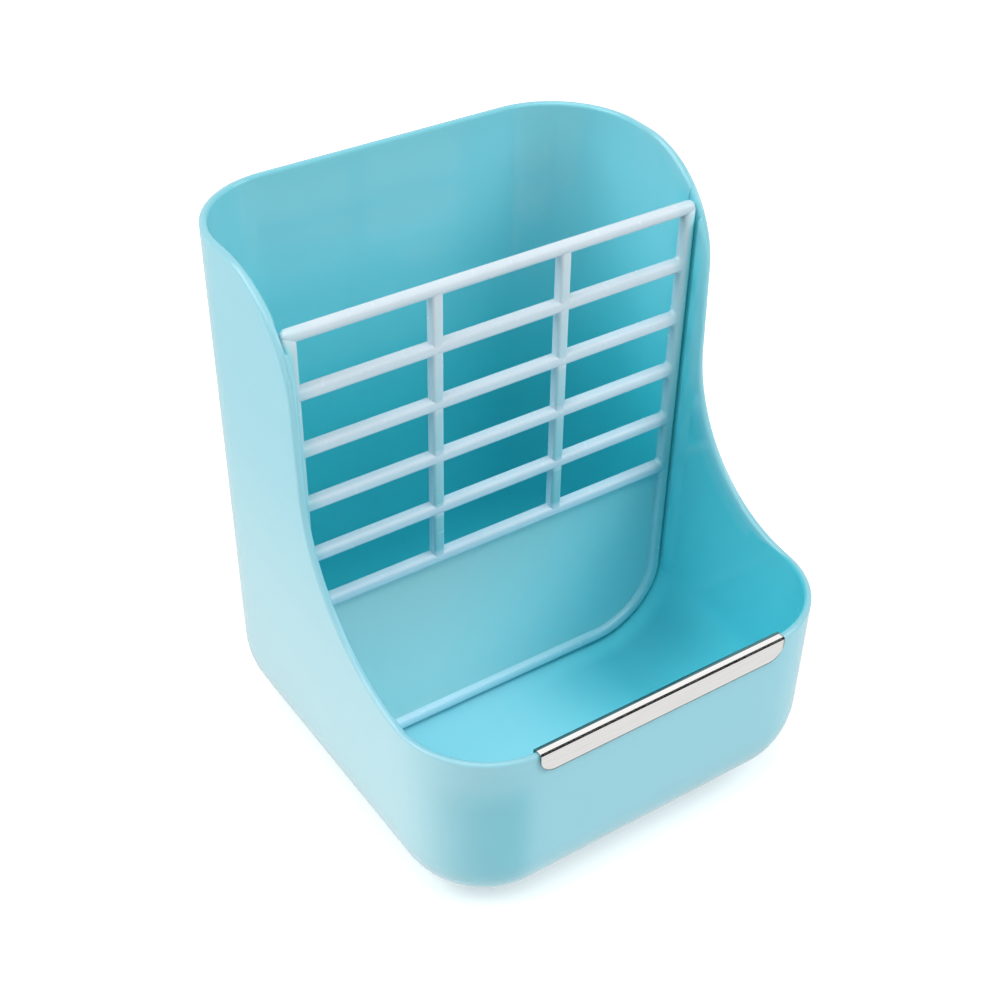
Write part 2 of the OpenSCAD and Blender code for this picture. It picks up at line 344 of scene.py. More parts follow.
# Painted shade on the upward faces of the rims.
RIM_SHADE = (0.66, 0.68, 0.70)
# Painted shade on the round of the front left corner.
CORNER_SHADE = (0.69, 0.89, 0.91)
# Painted shade in the bowl's right nook near the grille's foot.
NOOK_SHADE = (0.62, 0.74, 0.78)
CLOUD_TINT, CLOUD_SHARE = (0.86, 0.95, 0.97), 0.10
BAR_CLOUD_TINT = (0.96, 0.97, 0.97)
# Painted shade and painted reflection on the guard's ends, foot edge and inner fold.
EDGE_SHADE_TINT = (0.10, 0.22, 0.24)
BODY_ROUGH, BAR_ROUGH, PANEL_ROUGH = (0.09, 0.15), (0.20, 0.28), (0.30, 0.36)
BODY_IOR = 1.48
# Noise of a finish: its scale per metre and its detail. Relief: its strength and its depth in metres.
BODY_CLOUDS, BODY_GRAIN, BODY_WAVES, BODY_RELIEF = (22, 2), (420, 4), (45, 2), (0.12, 0.0006)
BAR_CLOUDS, BAR_GRAIN, BAR_RELIEF = (60, 2), (500, 3), (0.10, 0.0002)
PANEL_WAVES, PANEL_GRAIN, PANEL_RELIEF = (14, 1), (400, 3), (0.08, 0.0004)
PANEL_TURN_X = -20.0
# Painted shade on the bars' upper faces.
BAR_UP_SHADE = (0.80, 0.80, 0.80)


def point_value(tree, name):
    return node(tree, "ShaderNodeAttribute", attribute_name=name).outputs["Fac"]


def along(tree, axis, low, high):
    """0 to 1 between two places along an axis of the object, in metres."""
    where = node(tree, "ShaderNodeTexCoord").outputs["Object"]
    return spread(tree, node(tree, "ShaderNodeSeparateXYZ", where).outputs[axis], 0.0, 1.0, low, high)


def blue_plastic():
    """The body's blue: pale outside, with painted light low on the left wall's outside and painted shade
    deeper down in the hopper, to the right in the bowl, at the front left corner and on the rim tops.
    """
    mat, tree, bsdf = material("blue_plastic")
    # Painted shade, deeper down in the hopper and to the right in the bowl.
    inner = mix_colour(tree, point_value(tree, "inner_shade"), LIT_BLUE, SHADED_BLUE)
    # Painted light low on the left wall's outside.
    outer = mix_colour(tree, point_value(tree, "pale"), OUTER_BLUE, OUTER_LEFT_LIGHT)
    colour = mix_colour(tree, point_value(tree, "inside"), outer, inner)
    clouding = spread(tree, object_noise(tree, *BODY_CLOUDS), 0.0, CLOUD_SHARE)
    colour = tinted(tree, colour, clouding, CLOUD_TINT)
    # Painted shade at the front left corner, in the bowl's right nook and on the rim tops.
    for name, tint in (("corner", CORNER_SHADE), ("bowl", NOOK_SHADE), ("rim", RIM_SHADE)):
        colour = tinted(tree, colour, point_value(tree, name), tint)
    rough = spread(tree, object_noise(tree, *BODY_GRAIN), *BODY_ROUGH)
    dressed(tree, bsdf, colour, rough, object_noise(tree, *BODY_WAVES), *BODY_RELIEF)
    bsdf.inputs["IOR"].default_value = BODY_IOR
    return mat


def white_plastic():
    """White bars with painted light and shade by the attributes on them: painted blue light from the body
    behind them, and painted shade on their upper faces and the side bars' outer sides.
    """
    mat, tree, bsdf = material("white_plastic")
    # Painted shade darker at the top bar and painted blue light at the foot, along the height.
    plain = mix_colour(tree, along(tree, "Z", PANEL_H * MM, TOP_BAR_Z * MM), BAR_FOOT, BAR_TOP)
    cloud = object_noise(tree, *BAR_CLOUDS)
    colour = tinted(tree, plain, spread(tree, cloud, 0.0, 1.0), BAR_CLOUD_TINT)
    # Painted blue light from the body, and painted shade on the side bars' outer sides.
    for name, turned in (("milky", BAR_BLUE_LIGHT), ("shade", BAR_SHADE)):
        colour = mix_colour(tree, point_value(tree, name), colour, turned)
    # Painted shade on the bars' upper faces.
    colour = tinted(tree, colour, point_value(tree, "upward"), BAR_UP_SHADE)
    rough = spread(tree, object_noise(tree, *BAR_GRAIN), *BAR_ROUGH)
    dressed(tree, bsdf, colour, rough, cloud, *BAR_RELIEF)
    return mat


def milky_plastic():
    """The thin panel, its blue painted light from the body behind it, lighter at its left and darker, in
    painted shade, towards its right.
    """
    mat, tree, bsdf = material("milky_panel")
    colour = mix_colour(tree, along(tree, "X", PANEL_TURN_X * MM, CORNER_X * MM), PANEL_LEFT_LIT, PANEL_RIGHT_SHADED)
    rough = spread(tree, object_noise(tree, *PANEL_GRAIN), *PANEL_ROUGH)
    dressed(tree, bsdf, colour, rough, object_noise(tree, *PANEL_WAVES), *PANEL_RELIEF)
    return mat


WORN, SMOOTHER, ROUGHER, GRAIN_DEPTH = 0.94, 0.8, 1.3, 0.0001


def bright_metal(name, colour, rough, stretch, scale=900, strength=0.05):
    """Bright metal with a fine grain. Where the attribute says, its edges and the inner fold are darkened
    with painted shade and painted reflection.
    """
    mat, tree, bsdf = material(name)
    bsdf.inputs["Metallic"].default_value = 1.0
    grain = object_noise(tree, scale, 3, stretch)
    colour = mix_colour(tree, spread(tree, grain, 0.0, 1.0), colour, tuple(c * WORN for c in colour))
    # Painted shade and painted reflection on the edges and the inner fold.
    colour = tinted(tree, colour, point_value(tree, "cut"), EDGE_SHADE_TINT)
    rough = spread(tree, grain, rough * SMOOTHER, rough * ROUGHER)
    dressed(tree, bsdf, colour, rough, grain, strength, GRAIN_DEPTH)
    return mat


BLUE = blue_plastic()
WHITE = white_plastic()
MILKY = milky_plastic()
GUARD_STEEL = bright_metal("guard_steel", (0.97, 0.96, 0.95), 0.07, (0.06, 1, 1), 1500, 0.03)
WIRE_STEEL = bright_metal("plated_wire", (0.66, 0.67, 0.68), 0.22, (1, 1, 0.3))
SPRING_STEEL = bright_metal("spring_wire", (0.55, 0.56, 0.58), 0.26, (1, 1, 1))


def finish_piece(obj, body, slot, mat, *nodes):
    obj.data.materials.clear()
    obj.data.materials.append(mat)
    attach(obj, body)
    if nodes:
        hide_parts(*nodes)
    return obj


# The moulded body

RIM_ROUND = 0.95
RIM_BAND = 3.0
RIM_ROW = 1.6
CORNER_PARTS, FLAT_PARTS, SWEEP_PARTS, LEAN_PARTS, CREST_PARTS = 19, 6, 30, 8, 24
WALL_ROWS, BASE_ROWS, LIP_ROWS = 8, 15, 6
FLOOR_ROWS = (0.97, 0.66, 0.33)


def side_stations():
    """Points of the side rim from front to back, each with its outward direction."""
    out = []
    first = math.asin((-CORNER_Y - SWEEP_C[0]) / SWEEP_R) - math.pi / 2
    for a in np.linspace(first, TOUCH, SWEEP_PARTS):
        d = (math.cos(a), math.sin(a))
        out.append((SWEEP_C[0] + SWEEP_R * d[0], SWEEP_C[1] + SWEEP_R * d[1], -d[0], -d[1]))
    low = out[-1]
    high = (CREST_C[0] - CREST_R * math.cos(TOUCH), CREST_C[1] - CREST_R * math.sin(TOUCH))
    for t in np.linspace(0, 1, LEAN_PARTS)[1:-1]:
        out.append((low[0] + (high[0] - low[0]) * t, low[1] + (high[1] - low[1]) * t, low[2], low[3]))
    for a in np.linspace(math.pi + TOUCH, math.pi / 2, CREST_PARTS):
        d = (math.cos(a), math.sin(a))
        out.append((CREST_C[0] + CREST_R * d[0], CREST_C[1] + CREST_R * d[1], d[0], d[1]))
    out.append((CORNER_Y, BODY_H, 0.0, 1.0))
    return out


def stations():
    """Every station round the right half, from the front's middle to the back's middle."""
    out = []
    for x in np.linspace(0, CORNER_X, FLAT_PARTS)[:-1]:
        out.append(dict(base=(x, -CORNER_Y), n=(0, -1), rim=None))
    for a in np.linspace(-math.pi / 2, 0, CORNER_PARTS)[:-1]:
        out.append(dict(base=(CORNER_X, -CORNER_Y), n=(math.cos(a), math.sin(a)), rim=None))
    for y, z, ny, nz in side_stations():
        out.append(dict(base=(CORNER_X, y), n=(1, 0), rim=(y, z, ny, nz)))
    for a in np.linspace(0, math.pi / 2, CORNER_PARTS)[1:]:
        out.append(dict(base=(CORNER_X, CORNER_Y), n=(math.cos(a), math.sin(a)), rim=None))
    for x in np.linspace(CORNER_X, 0, FLAT_PARTS)[1:]:
        out.append(dict(base=(x, CORNER_Y), n=(0, 1), rim=None))
    return out


def reach_at(z, inset):
    """Distance from a station's base point to the wall's face at a height."""
    r = CORNER_R - inset
    if z >= CORNER_R:
        return r + (z - CORNER_R) * SLOPE
    return math.sqrt(max(r * r - (CORNER_R - z) ** 2, 0.0))


def wall_column(st):
    """Points from the middle of the underside, up the outside, over the rim, to the floor's middle."""
    bx, by = st["base"]
    nx, ny = st["n"]

    def at(rho, z):
        return (bx + nx * rho, by + ny * rho, z)

    def banded(t, d):
        """A point t in from the outer face and d down from the rim."""
        if st["rim"] is not None:
            y, z, oy, oz = st["rim"]
            zz = z - d * oz
            return (bx + CORNER_R + (zz - CORNER_R) * SLOPE - t, y - d * oy, zz)
        top = BODY_H if by > 0 else BOWL_H
        if by < 0 and nx > 0:
            top = rim_height(by + ny * (CORNER_R + (BOWL_H - CORNER_R) * SLOPE))
        z = top - d
        return at(CORNER_R + (z - CORNER_R) * SLOPE - t, z)

    def straight(t, inset):
        """Rows from the bottom of the rim band down to the start of the base's round."""
        p = banded(t, RIM_BAND)
        rows = []
        for f in np.linspace(0, 1, WALL_ROWS)[1:]:
            z = p[2] + (CORNER_R - p[2]) * f
            rho = reach_at(z, inset)
            if st["rim"] is not None:
                rows.append((bx + rho, p[1], z))
            else:
                rows.append(at(rho, z))
        return rows

    def round_base(inset, y):
        """Rows round the base's edge and on towards the middle of the floor."""
        r = CORNER_R - inset
        rows = []
        for a in np.linspace(0, math.pi / 2, BASE_ROWS)[1:]:
            rho, z = r * math.cos(a), CORNER_R - r * math.sin(a)
            if st["rim"] is not None:
                rows.append((bx + rho, y, z))
            else:
                rows.append(at(rho, z))
        foot_y = y if st["rim"] is not None else by
        return rows + [(bx * k, foot_y * k, inset) for k in FLOOR_ROWS]

    y_out = banded(0, RIM_BAND)[1]
    y_in = banded(WALL, RIM_BAND)[1]
    out = list(reversed(straight(0, 0) + round_base(0, y_out)))
    out.append(banded(0, RIM_BAND))
    out.append(banded(0, RIM_ROW))
    q = RIM_ROUND
    for a in np.linspace(0, math.pi / 2, LIP_ROWS):
        out.append(banded(q - q * math.cos(a), q - q * math.sin(a)))
    for a in np.linspace(math.pi / 2, 0, LIP_ROWS):
        out.append(banded(WALL - q + q * math.cos(a), q - q * math.sin(a)))
    out.append(banded(WALL, RIM_ROW))
    out.append(banded(WALL, RIM_BAND))
    out += straight(WALL, WALL) + round_base(WALL, y_in)
    return out


FLOOR_STEPS = 30


def shell():
    """The moulded wall and floor as one closed skin. The right half is mirrored to the left."""
    half = [wall_column(s) for s in stations()]
    other = [[(-x, y, z) for x, y, z in col] for col in half[-2:0:-1]]
    cols = half + other
    rows = len(cols[0])
    points = [p for col in cols for p in col]
    faces = strip_faces(len(cols), rows, False, True)
    for row, z, steps in ((0, 0.0, 1), (rows - 1, WALL, FLOOR_STEPS)):
        edge = [i * rows + row for i in range(len(cols))]
        for k in range(1, steps):
            inner = list(range(len(points), len(points) + len(edge)))
            points += [(cols[i][row][0] * (1 - k / steps), cols[i][row][1] * (1 - k / steps), z)
                       for i in range(len(cols))]
            faces += [(edge[i - 1], edge[i], inner[i], inner[i - 1]) for i in range(len(edge))]
            edge = inner
        centre = len(points)
        points.append((0, 0, z))
        faces += [(centre, edge[i - 1], edge[i]) for i in range(len(edge))]
    return points, faces


# The ribs by side: -1 is in front of the grille and 1 behind it
RIB_BACK_OFF = {-1: 0.7, 1: 0.0}
RIB_FADE = {-1: 6.7, 1: 20.0}
RIB_FLAT, RIB_PROUD, RIB_SOFT, RIB_CROWN = 1.0, 1.0, 0.5, 0.9
RIB_FOOT, RIB_FULL, RIB_KNEE, RIB_SHORT = 16.5, 17.0, 156.0, 0.5
RIB_LEAST, RIB_THIN = 0.3, 7.0
RIB_ROWS, RIB_TOP_ROWS, RIB_CROWN_TURNS = 60, 30, (25, 50, 70, 85)
# Places across a rib: at its far edge in millimetres, on its flank, and as shares of its soft edge
RIB_START, RIB_ACROSS, RIB_END = (0.0, 0.02, 0.08, 0.18, 0.35, 0.6, 0.95), 12, (0.6, 0.3, 0.1, 0.0)
RIM_LAP, SUNK, WALL_SHARE = 0.005, 0.25, 0.9


def rim_setback(gap):
    """How far the rim's round draws the inner face back, near the rim."""
    if gap >= RIM_ROUND:
        return 0.0
    return RIM_ROUND - math.sqrt(RIM_ROUND ** 2 - (RIM_ROUND - max(gap, 0.0)) ** 2)


def guide_rib(way, side):
    """One side of a groove: an edge at the groove that fades into the wall away from it."""
    face = GRILLE_Y + side * (FRAME_R + GRILLE_GAP + RIB_BACK_OFF[side])
    fade = RIB_FADE[side]
    if side < 0:
        top = rim_height(face) - RIB_SHORT
        heights = list(np.linspace(RIB_FOOT, top - RIB_CROWN, RIB_ROWS))
        heights += [top - RIB_CROWN * (1 - math.sin(math.radians(a))) for a in RIB_CROWN_TURNS]
    else:
        reach = CREST_R - RIM_LAP
        top = CREST_C[1] + math.sqrt(reach ** 2 - (CREST_C[0] - face - fade + RIB_SHORT) ** 2)
        heights = list(np.linspace(RIB_FOOT, RIB_KNEE, RIB_ROWS))
        heights += list(np.linspace(RIB_KNEE, top, RIB_TOP_ROWS))[1:]
    rings = []
    for z in heights:
        near, far = (face - fade, face) if side < 0 else (face, face + fade)
        near = max(near, rim_front(z) + RIM_LAP)
        outer = min(wall_in(z) + WALL_SHARE, CORNER_X + reach_at(z, WALL / 2))
        lowered = 0.0
        if side < 0 and z > top - RIB_CROWN:
            lowered = RIB_CROWN - math.sqrt(max(RIB_CROWN ** 2 - (z - top + RIB_CROWN) ** 2, 0))
        width = far - near
        soft = min(RIB_SOFT, width / 4)
        ys = [near + min(k, width * k / 2) for k in RIB_START]
        ys += list(np.linspace(ys[-1], far - soft, RIB_ACROSS))[1:]
        ys += [far - soft * k for k in RIB_END]
        ring = [(outer, near), (outer, far)]
        for y in reversed(ys):
            away = abs(y - face)
            share = smooth_step(1 - (away - RIB_FLAT) / (fade - RIB_FLAT))
            proud = (RIB_PROUD + SUNK) * share * rise(z, RIB_FULL, RIB_FULL) - SUNK - lowered
            if away < RIB_SOFT:
                proud -= RIB_SOFT - math.sqrt(RIB_SOFT ** 2 - (RIB_SOFT - away) ** 2)
            if side > 0:
                proud *= RIB_LEAST + (1 - RIB_LEAST) * rise(rim_gap(y, z), 0, RIB_THIN)
            inner = wall_in(z) - proud + rim_setback(rim_gap(y, z))
            ring.append((min(inner, outer - 0.02), y))
        rings.append([(way * x, y, z) for x, y in ring])
    return loft(rings)


HOOK_X = CORNER_X - HOOK_IN
LUG_LOW_Z = HOOK_Z - LUG_GAP
BACK_Y = BODY_D / 2 + LUG_LOW_Z * SLOPE
SHANK_Y = BODY_D / 2 + HOOK_Z * SLOPE + SHANK_OUT


EDGE_ROUND = 0.5
BORE_ROUND = 0.3


def lug(x, top):
    """A lug with a round end, a bore and softened edges."""
    count = 64
    e = EDGE_ROUND
    bore = WIRE_R + WIRE_GAP
    z0, z1 = top - LUG_T, top

    def outline(k, shrink):
        a = 2 * math.pi * k / count
        c, s = math.cos(a), math.sin(a)
        r = LUG_R - shrink
        if s >= 0:
            return (x + r * c, SHANK_Y + r * s)
        depth = SHANK_Y - BACK_Y + WALL / 2
        if abs(c) * depth > abs(s) * r:
            return (x + math.copysign(r, c), SHANK_Y + r * s / abs(c))
        return (x + depth * c / abs(s), SHANK_Y - depth)

    def bore_ring(grow, z):
        return [(x + (bore + grow) * math.cos(2 * math.pi * k / count),
                 SHANK_Y + (bore + grow) * math.sin(2 * math.pi * k / count), z) for k in range(count)]

    rings = []
    for end, way, angles in ((z0, 1, (90, 60, 30, 0)), (z1, -1, (0, 30, 60, 90))):
        for a in np.radians(angles):
            z = end + way * e * (1 - math.sin(a))
            rings.append([(*outline(k, e * (1 - math.cos(a))), z) for k in range(count)])
    for grow, z in ((BORE_ROUND, z1), (0.0, z1 - BORE_ROUND), (0.0, z0 + BORE_ROUND), (BORE_ROUND, z0)):
        rings.append(bore_ring(grow, z))
    points = [p for ring in rings for p in ring]
    return points, strip_faces(len(rings), count, True, True)


PAD_INSET = 0.05
# Height and inset of the rows that round a pad's end, as shares of its edge round
PAD_STEPS = ((0.0, 1.0), (0.3, 0.3), (1.0, 0.0))


def pad(x):
    """The flat pad between the lugs, with rounded upright edges."""
    z0, z1 = LUG_LOW_Z - LUG_T + PAD_INSET, HOOK_Z - PAD_INSET
    e = EDGE_ROUND
    front = BACK_Y - WALL / 2
    back = BACK_Y + PAD_T
    rings = []
    for end, way, steps in ((z0, 1, PAD_STEPS), (z1, -1, PAD_STEPS[::-1])):
        for up, part in steps:
            s = e * part
            z = end + way * e * up
            w = LUG_R - PAD_INSET - s
            half = [(w, front), (w, back - e - s)]
            for a in np.radians((30, 60)):
                half.append((w - e * (1 - math.cos(a)), back - s - e * (1 - math.sin(a))))
            half.append((w - e, back - s))
            rings.append([(x - u, y, z) for u, y in half] + [(x + u, y, z) for u, y in reversed(half)])
    return loft(rings)


# Where the body's colour and its painted light and shade change, in millimetres. Each ramp has a start or
# an end, and a length.
SKIN, SKIN_RAMP = 0.9, WALL - 1.2
RIM_GLOW, RIM_GLOW_RAMP, FAR_FROM_RIM = 0.45, 5, 9.0
BEHIND_RAMP = (GRILLE_Y - 1, 10)
HOPPER_LEAST, HOPPER_RAMP = 0.22, (158, 90)
BOWL_MOST, BOWL_RAMP = 0.78, (-15, 70)
LEFT_LIGHT_POWER, LEFT_LIGHT_RAMP = 3, (137, 108)
TURN_IN, TURN_OUT, TURN_HIGH, TURN_LOW = (-2, 20), (80, 50), (60, 14), (8, 14)
ON_BOWL_RIM, SIDE_RIM_END, ON_BACK_RIM, PAST_FLAT = BOWL_H - 2, 60, BODY_H - 3, 0.1
NOOK_FRONT, NOOK_BACK, NOOK_SIDE, NOOK_HIGH = (-45, 40), (9, 8), (0, 50), (27, 18)


def wall_depth(x, y, z):
    """0 on the outer face of the wall and the floor, 1 on the inner face."""
    ax, ay = max(abs(x) - CORNER_X, 0), max(abs(y) - CORNER_Y, 0)
    reach = math.hypot(ax, ay) if ax and ay else max(ax, ay)
    gap = reach_at(z, 0) - reach
    if z < CORNER_R and not (ax or ay):
        gap = z
    elif z < CORNER_R:
        gap = CORNER_R - math.hypot(reach, CORNER_R - z)
    return min(max((gap - SKIN) / SKIN_RAMP, 0.0), 1.0)


def body_shades(x, y, z, normal):
    """The shares of the body's colours and of its painted light and shade at a point of it."""
    depth = wall_depth(x, y, z)
    near_rim = rim_gap(y, z) if y < CREST_C[0] and abs(x) > CORNER_X else FAR_FROM_RIM
    behind = rise(y, *BEHIND_RAMP)
    in_hopper = HOPPER_LEAST + (1 - HOPPER_LEAST) * fall(z, *HOPPER_RAMP)
    at_corner = x < -CORNER_X / 2 and y < -CORNER_Y - PAST_FLAT
    turn = math.degrees(math.atan2(-normal.x, -normal.y)) if at_corner else 180
    on_rim = z > ON_BOWL_RIM and (y < SIDE_RIM_END or z > ON_BACK_RIM)
    return dict(
        inside=depth * (RIM_GLOW + (1 - RIM_GLOW) * rise(near_rim, 0, RIM_GLOW_RAMP)),
        # Painted shade deep in the hopper and to the right in the bowl.
        inner_shade=behind * in_hopper + (1 - behind) * BOWL_MOST * rise(x, *BOWL_RAMP),
        # Painted light low on the outside of the left wall, where it faces left.
        pale=max(-normal.x, 0.0) ** LEFT_LIGHT_POWER * fall(z, *LEFT_LIGHT_RAMP),
        # Painted shade on the upward faces of the rims.
        rim=max(normal.z, 0.0) if on_rim else 0.0,
        # Painted shade on the outside of the front left corner.
        corner=(1 - depth) * rise(turn, *TURN_IN) * fall(turn, *TURN_OUT)
        * fall(z, *TURN_HIGH) * rise(z, *TURN_LOW),
        # Painted shade in the bowl's right nook.
        bowl=depth * fall(y, *NOOK_BACK) * rise(x, *NOOK_SIDE) * rise(y, *NOOK_FRONT) * fall(z, *NOOK_HIGH))


def feeder_body():
    parts = [shell()]
    for way in (-1, 1):
        for side in (-1, 1):
            parts.append(guide_rib(way, side))
        parts.append(pad(way * HOOK_X))
        for top in (HOOK_Z, LUG_LOW_Z):
            parts.append(lug(way * HOOK_X, top))
    obj = mesh_from("feeder_shell", *merged(parts))
    shades = [body_shades(*(c * 1000 for c in v.co), v.normal) for v in obj.data.vertices]
    painted(obj, **{name: [shade[name] for shade in shades] for name in shades[0]})
    return finish_piece(obj, "feeder", "body_plastic", BLUE, "feeder_body")


# The grille


def geometry_tree(name, inputs):
    tree = bpy.data.node_groups.new(name, "GeometryNodeTree")
    tree.interface.new_socket("Geometry", in_out="OUTPUT", socket_type="NodeSocketGeometry")
    for label, kind in inputs:
        tree.interface.new_socket(label, in_out="INPUT", socket_type=kind)
    return tree, tree.nodes.new("NodeGroupInput"), tree.nodes.new("NodeGroupOutput")


def points_in_row(tree, inp):
    """Count points, from First on, each a Step from the last."""
    line = node(tree, "GeometryNodeMeshLine", mode="OFFSET", Count=inp.outputs["Count"],
                Offset=inp.outputs["Step"], **{"Start Location": inp.outputs["First"]})
    return line.outputs[0]


def bar_along(tree, path, outline):
    """A bar with closed ends, from its middle line and the outline of its section."""
    values = {"Curve": path, "Profile Curve": outline, "Fill Caps": True}
    return node(tree, "GeometryNodeCurveToMesh", **values).outputs[0]


def circle_of(tree, radius, count):
    return node(tree, "GeometryNodeCurvePrimitiveCircle", Resolution=count, Radius=radius).outputs[0]


def repeated(tree, points, shape, **turn):
    return node(tree, "GeometryNodeInstanceOnPoints", Points=points, Instance=shape, **turn).outputs[0]


def end_tree(tree, inp, out, made):
    """Turn what was made into plain geometry with the finish on it."""
    real = node(tree, "GeometryNodeRealizeInstances", made).outputs[0]
    finish = node(tree, "GeometryNodeSetMaterial", real, Material=inp.outputs["Finish"])
    tree.links.new(finish.outputs[0], out.inputs[0])
    return tree


def run_tree(name, tree, values):
    """The plain mesh that a tree makes with these values."""
    holder = new_object(name, bpy.data.meshes.new(name + "_holder"))
    mod = holder.modifiers.new("shape", "NODES")
    mod.node_group = tree
    ids = {s.name: s.identifier for s in tree.interface.items_tree if s.in_out == "INPUT"}
    for label, value in values.items():
        mod[ids[label]] = value
    holder.update_tag()
    bpy.context.view_layer.update()
    ready = holder.evaluated_get(bpy.context.evaluated_depsgraph_get())
    mesh = bpy.data.meshes.new_from_object(ready)
    holder.modifiers.remove(mod)
    bpy.data.objects.remove(holder)
    return mesh


FLOAT, INT, VECTOR, MATERIAL_SOCKET = ("NodeSocketFloat", "NodeSocketInt", "NodeSocketVector",
                                       "NodeSocketMaterial")


def bars_tree():
    """Equal straight bars in a row. Each has a softly squared section and closed ends."""
    tree, inp, out = geometry_tree("Bars", (
        ("Count", INT), ("First", VECTOR), ("Step", VECTOR), ("Half Length", VECTOR), ("Parts", INT),
        ("Width", FLOAT), ("Edge Round", FLOAT), ("Finish", MATERIAL_SOCKET)))
    half, width = inp.outputs["Half Length"], inp.outputs["Width"]
    back = node(tree, "ShaderNodeVectorMath", half, operation="SCALE", Scale=-1.0).outputs[0]
    axis = node(tree, "GeometryNodeCurvePrimitiveLine", Start=back, End=half).outputs[0]
    parted = node(tree, "GeometryNodeResampleCurve", Curve=axis, Count=inp.outputs["Parts"]).outputs[0]
    square = node(tree, "GeometryNodeCurvePrimitiveQuadrilateral", Width=width, Height=width).outputs[0]
    soft = node(tree, "GeometryNodeFilletCurve", mode="POLY", Curve=square, Count=6,
                Radius=inp.outputs["Edge Round"]).outputs[0]
    return end_tree(tree, inp, out, repeated(tree, points_in_row(tree, inp), bar_along(tree, parted, soft)))


def corner_tree():
    """Quarter bends that round the inner corners between the cross bars and a side bar."""
    tree, inp, out = geometry_tree("Joint bends", (
        ("Count", INT), ("First", VECTOR), ("Step", VECTOR), ("Turn", VECTOR),
        ("Bend", FLOAT), ("Thickness", FLOAT), ("Finish", MATERIAL_SOCKET)))
    arc = node(tree, "GeometryNodeCurveArc", Resolution=9, Radius=inp.outputs["Bend"],
               **{"Sweep Angle": math.pi / 2})
    bar = bar_along(tree, arc.outputs[0], circle_of(tree, inp.outputs["Thickness"], 20))
    placed = repeated(tree, points_in_row(tree, inp), bar, Rotation=inp.outputs["Turn"])
    return end_tree(tree, inp, out, placed)


TOP_HALF = wall_in(TOP_BAR_Z) - GRILLE_GAP - FRAME_R
BEND = CORNER_R - WALL - GRILLE_GAP - FRAME_R + 0.05
FOOT_LIFT = 0.95
FRAME_SQUARE, FRAME_LESS = 2.8, 0.05
BAR_PARTS, CROSS_ROUND, UPRIGHT_ROUND = 49, 1.3, 1.0
SIDE_PARTS, BEND_PARTS, FOOT_PARTS, BAR_SIDES = 24, 20, 9, 24
# Radius of the small bends at the left and the right side bar
JOINT_BENDS = ((-1, 2.3), (1, 3.6))
SHADE_RAMP = (1.3, 1.9)
# Shares of painted blue light on the foot, the side bars and the uprights.
FOOT_BLUE, FOOT_BLUE_SPAN, FOOT_BLUE_MOST = 0.1, 140, 0.8
SIDE_BLUE, SIDE_BLUE_DOWN, SIDE_BLUE_IN, SIDE_BLUE_SPAN = 0.25, 0.7, 3, 4
UPRIGHT_BLUE = 0.9


def frame_path():
    """Middle line of the bar down one side, along the foot and up the other side."""
    path = []
    for t in np.linspace(0, 1, SIDE_PARTS):
        z = TOP_BAR_Z + (CORNER_R - TOP_BAR_Z) * t
        path.append((TOP_HALF + (CORNER_X + BEND - TOP_HALF) * t, z))
    for a in np.linspace(0, math.pi / 2, BEND_PARTS)[1:]:
        path.append((CORNER_X + BEND * math.cos(a), CORNER_R - (BEND - FOOT_LIFT) * math.sin(a)))
    for x in np.linspace(CORNER_X, 0, FOOT_PARTS)[1:-1]:
        path.append((x, CORNER_R - BEND + FOOT_LIFT))
    return path + [(0.0, CORNER_R - BEND + FOOT_LIFT)] + [(-x, z) for x, z in reversed(path)]


def outwards(x, z):
    """How far a point is past the inner face of the side bar."""
    bar = wall_in(z) if z > CORNER_R else CORNER_X + reach_at(z, WALL)
    return abs(x) - (bar - GRILLE_GAP - 2 * FRAME_R)


def blue_light_share(x, y, z):
    """How much painted blue light a bar takes from the blue body behind it: the side bars and uprights low
    down most.
    """
    if z < PANEL_H - ROW_R:
        return min(max(FOOT_BLUE + (x + 30) / FOOT_BLUE_SPAN, FOOT_BLUE), FOOT_BLUE_MOST)
    down = (TOP_BAR_Z - z) / (TOP_BAR_Z - PANEL_H)
    past = outwards(x, z)
    if past > -SIDE_BLUE_IN:
        return min((past + SIDE_BLUE_IN) / SIDE_BLUE_SPAN, 1.0) * (SIDE_BLUE + SIDE_BLUE_DOWN * down)
    across = (abs(abs(x) - COLUMN_GAP / 2) < COLUMN_R + 0.1) and y < GRILLE_Y - COLUMN_R * 0.6
    on_row = abs((TOP_BAR_Z - z) / PITCH - round((TOP_BAR_Z - z) / PITCH)) * PITCH < ROW_R + 0.1
    return UPRIGHT_BLUE * down if across and not on_row else 0.0


